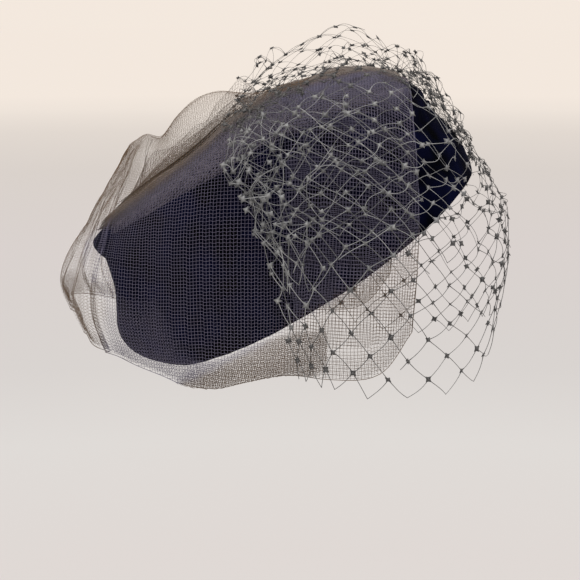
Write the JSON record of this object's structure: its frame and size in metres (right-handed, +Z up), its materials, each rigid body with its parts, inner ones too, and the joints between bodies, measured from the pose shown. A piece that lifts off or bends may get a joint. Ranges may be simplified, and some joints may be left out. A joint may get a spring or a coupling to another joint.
{
  "type": "fascinator hat with tulle and birdcage veils",
  "caption": "Tilted oval felt cocktail hat with a turned-up cuff, a fine tulle veil draped over the sides and back, and a coarse knotted net veil puffed over the top and front.",
  "frame": {"origin": "centre of the hat's head opening, in the plane of its rim", "axes": "+X to the front of the wearer's head, +Y to the wearer's left, +Z up as worn; the rim plane is tilted, its front raised 31.5 degrees"},
  "size_m": [0.2527, 0.1934, 0.196],
  "materials": {
    "navy_felt": "matte brushed wool felt",
    "tulle": "fine square nylon mesh",
    "net": "knotted diamond nylon net"
  },
  "bodies": {
    "root": {"crown": "navy_felt", "cuff": "navy_felt", "tulle_veil": "tulle", "birdcage_veil": "net"}
  },
  "joints": []
}
